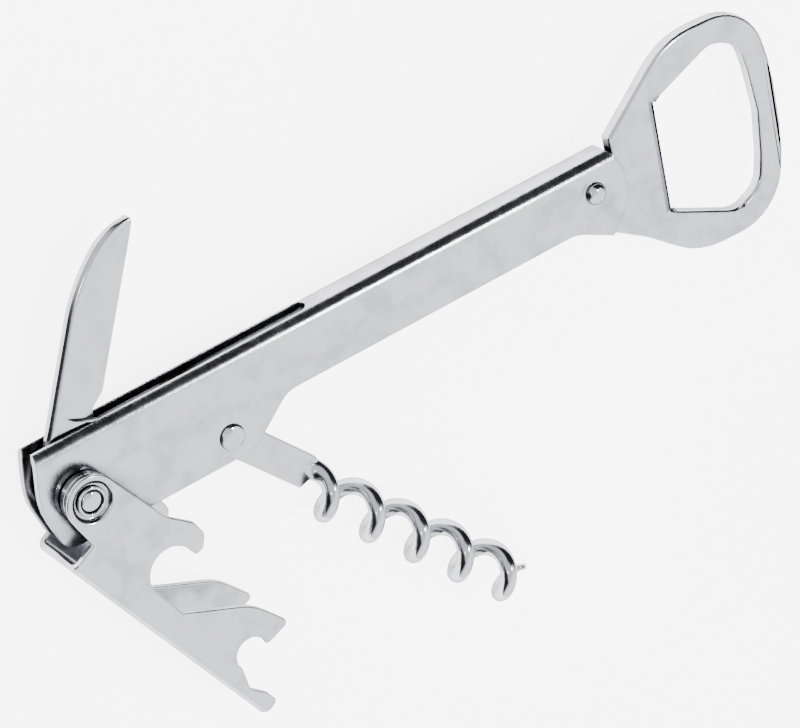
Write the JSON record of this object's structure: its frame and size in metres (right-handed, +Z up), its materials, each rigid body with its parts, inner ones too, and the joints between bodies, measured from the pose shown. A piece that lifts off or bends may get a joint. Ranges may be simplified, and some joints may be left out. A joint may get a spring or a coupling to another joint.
{
  "type": "waiters corkscrew",
  "caption": "Folding waiter's corkscrew: channel handle with bottle opener loop, hinged worm, curved foil knife and U-shaped lever.",
  "frame": {"origin": "centre of the bounding box at its lowest plane, the outer face of the lever's lower cheek, on which the tool lies", "axes": "+X along the handle from the axle to the bottle opener, +Y from the handle's open side to its closed spine, +Z up through the thickness"},
  "size_m": [0.1436, 0.096, 0.0119],
  "materials": {
    "plated_sheet": "nickel plated, bright satin",
    "bright_steel": "polished nickel plate",
    "blade_steel": "ground and plated",
    "rivet_steel": "polished, domed"
  },
  "bodies": {
    "handle": {"handle_channel": "plated_sheet", "bottle_opener": "plated_sheet", "opener_rivet": "rivet_steel", "worm_rivet": "rivet_steel", "worm_washer_near": "rivet_steel", "worm_washer_far": "rivet_steel", "knife_washer_near": "rivet_steel", "knife_washer_far": "rivet_steel", "axle_rivet": "rivet_steel", "axle_ring_near": "rivet_steel", "axle_ring_far": "rivet_steel", "lever_spacer_near": "rivet_steel", "lever_spacer_far": "rivet_steel"},
    "worm": {"worm": "bright_steel"},
    "knife": {"knife_blade": "blade_steel"},
    "lever": {"lever": "plated_sheet"}
  },
  "joints": [
    {"name": "lever_hinge", "type": "hinge", "parent": "handle", "child": "lever", "pos_m": [-0.06492, 0.01051, 0.00595], "axis": [0, 0, 1], "range_deg": [-30, 58.2]},
    {"name": "worm_hinge", "type": "hinge", "parent": "handle", "child": "worm", "pos_m": [-0.03882, 0.00691, 0.00595], "axis": [0, 0, 1], "range_deg": [-25.1, 48.7]},
    {"name": "knife_hinge", "type": "hinge", "parent": "handle", "child": "knife", "pos_m": [-0.06492, 0.01051, 0.00595], "axis": [0, 0, 1], "range_deg": [-58, 100]}
  ],
  "couplings": [
    {"joint": "worm_hinge", "follows": "lever_hinge", "ratio": 0.8368}
  ]
}
